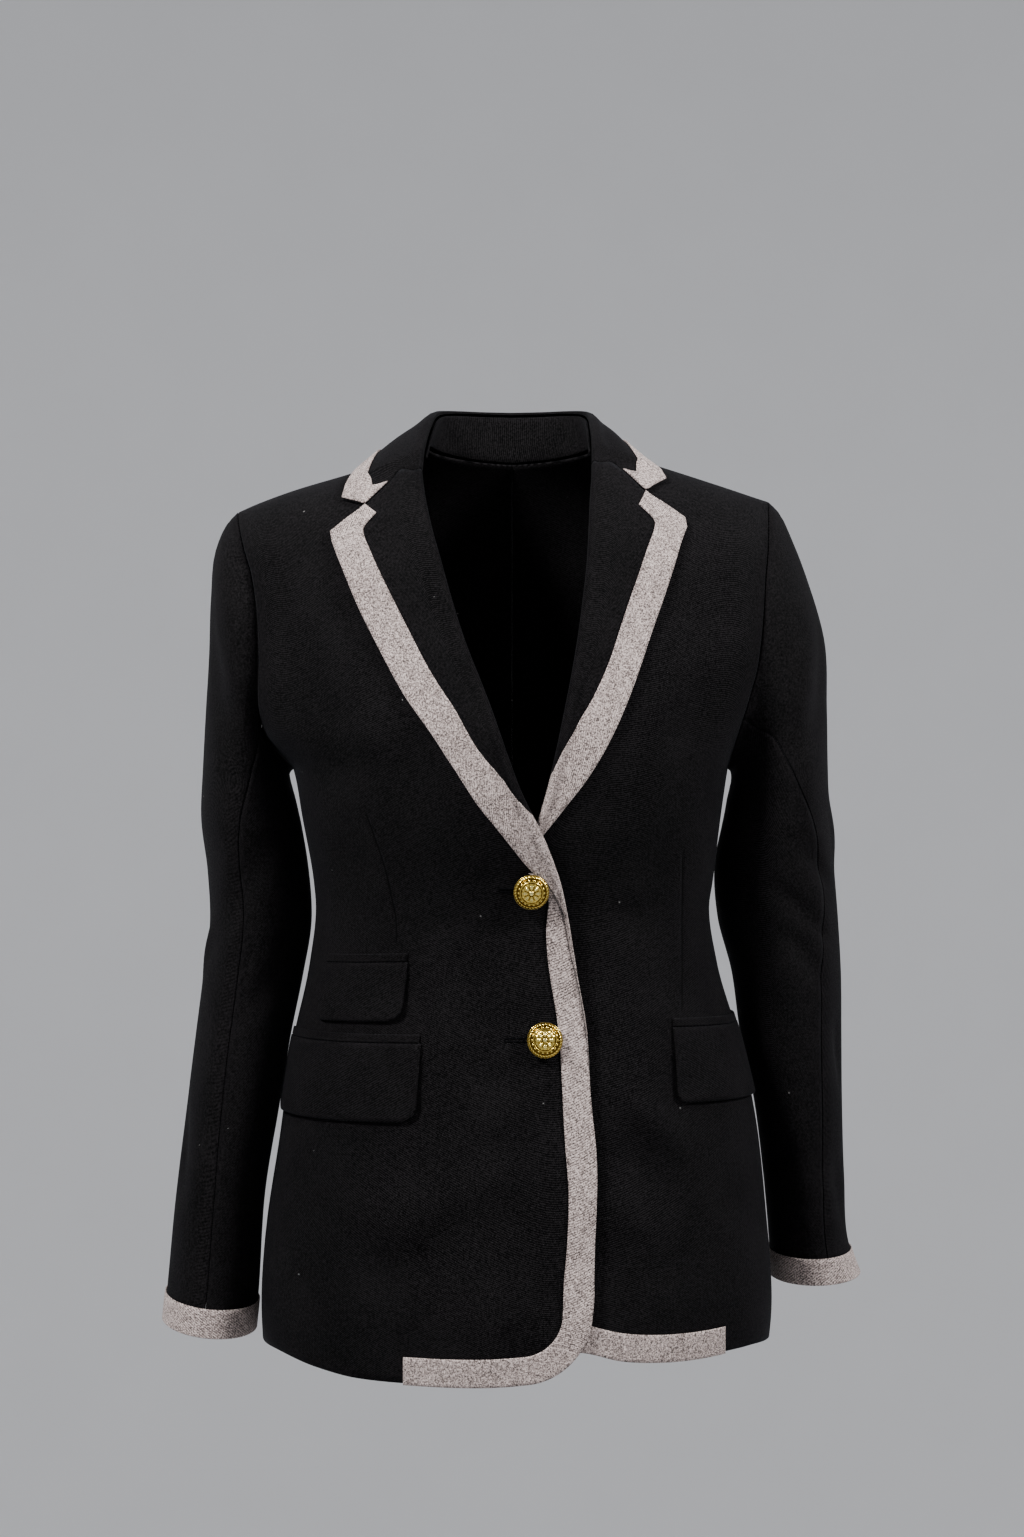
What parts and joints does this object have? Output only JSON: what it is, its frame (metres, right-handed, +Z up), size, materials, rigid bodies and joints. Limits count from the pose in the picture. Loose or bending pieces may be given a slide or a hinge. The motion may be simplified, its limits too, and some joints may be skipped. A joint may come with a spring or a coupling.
{
  "type": "single breasted blazer",
  "caption": "Hollow worn single-breasted blazer with notch lapels, contrast trim, flap pockets and domed metal buttons, closed right over left.",
  "frame": {"origin": "midway between the two side neck points, where the wearer's neck and shoulders carry the jacket", "axes": "+Z up, -Y the front of the jacket, +X the wearer's left"},
  "size_m": [0.5133, 0.2607, 0.6849],
  "materials": {
    "black_wool": "matt black fine twill wool",
    "grey_trim": "matt heather grey felted wool",
    "gold_button": "polished gold-coloured metal"
  },
  "bodies": {
    "root": {"front_right": "black_wool", "front_left": "black_wool", "back_right": "black_wool", "back_left": "black_wool", "sleeve_top_right": "black_wool", "sleeve_top_left": "black_wool", "sleeve_under_right": "black_wool", "sleeve_under_left": "black_wool", "lapel_right": "black_wool", "lapel_left": "black_wool", "collar_fall": "black_wool", "collar_stand": "black_wool", "ticket_flap": "black_wool", "ticket_welt": "black_wool", "pocket_flap_right": "black_wool", "pocket_welt_right": "black_wool", "pocket_flap_left": "black_wool", "pocket_welt_left": "black_wool", "lapel_trim_right": "grey_trim", "lapel_trim_left": "grey_trim", "collar_trim": "grey_trim", "front_trim_right": "grey_trim", "front_trim_left": "grey_trim", "cuff_trim_right": "grey_trim", "cuff_trim_left": "grey_trim", "button_upper": "gold_button", "button_lower": "gold_button"}
  },
  "joints": []
}
